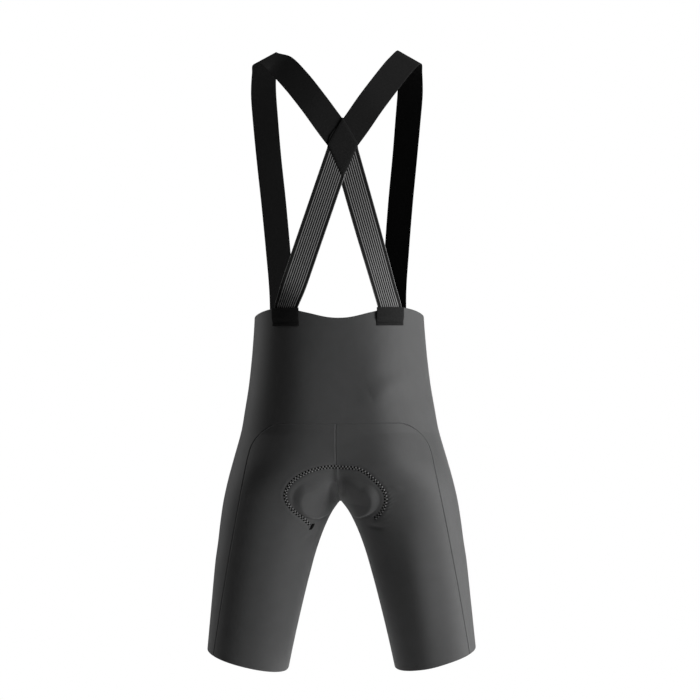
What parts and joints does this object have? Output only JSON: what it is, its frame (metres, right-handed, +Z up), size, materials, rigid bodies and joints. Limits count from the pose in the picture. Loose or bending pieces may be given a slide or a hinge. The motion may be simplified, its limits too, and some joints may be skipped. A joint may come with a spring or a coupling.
{
  "type": "cycling bib shorts",
  "caption": "Close-fitting knee-length shorts held up by elastic straps that cross behind the back, with a padded seat, kept in their worn form.",
  "frame": {"origin": "midway between the undersides of the two straps, where they pass over the tops of the shoulders", "axes": "+X to the wearer's right, +Y to the wearer's front, +Z up"},
  "size_m": [0.4024, 0.237, 0.9271],
  "materials": {
    "knit": "smooth matt charcoal knit with a faint sheen",
    "webbing": "matt black woven elastic",
    "striped_elastic": "black woven elastic with fine light grey lines along its length",
    "pad": "soft brushed dark knit over foam"
  },
  "bodies": {
    "root": {"body_panel": "knit", "seat_panel_left": "knit", "seat_panel_right": "knit", "front_panel_left": "knit", "front_panel_right": "knit", "seat_pad": "pad", "strap_left": "webbing", "strap_right": "webbing", "elastic_left": "striped_elastic", "elastic_right": "striped_elastic", "tab_left": "webbing", "tab_right": "webbing", "cross_patch": "webbing"}
  },
  "joints": []
}
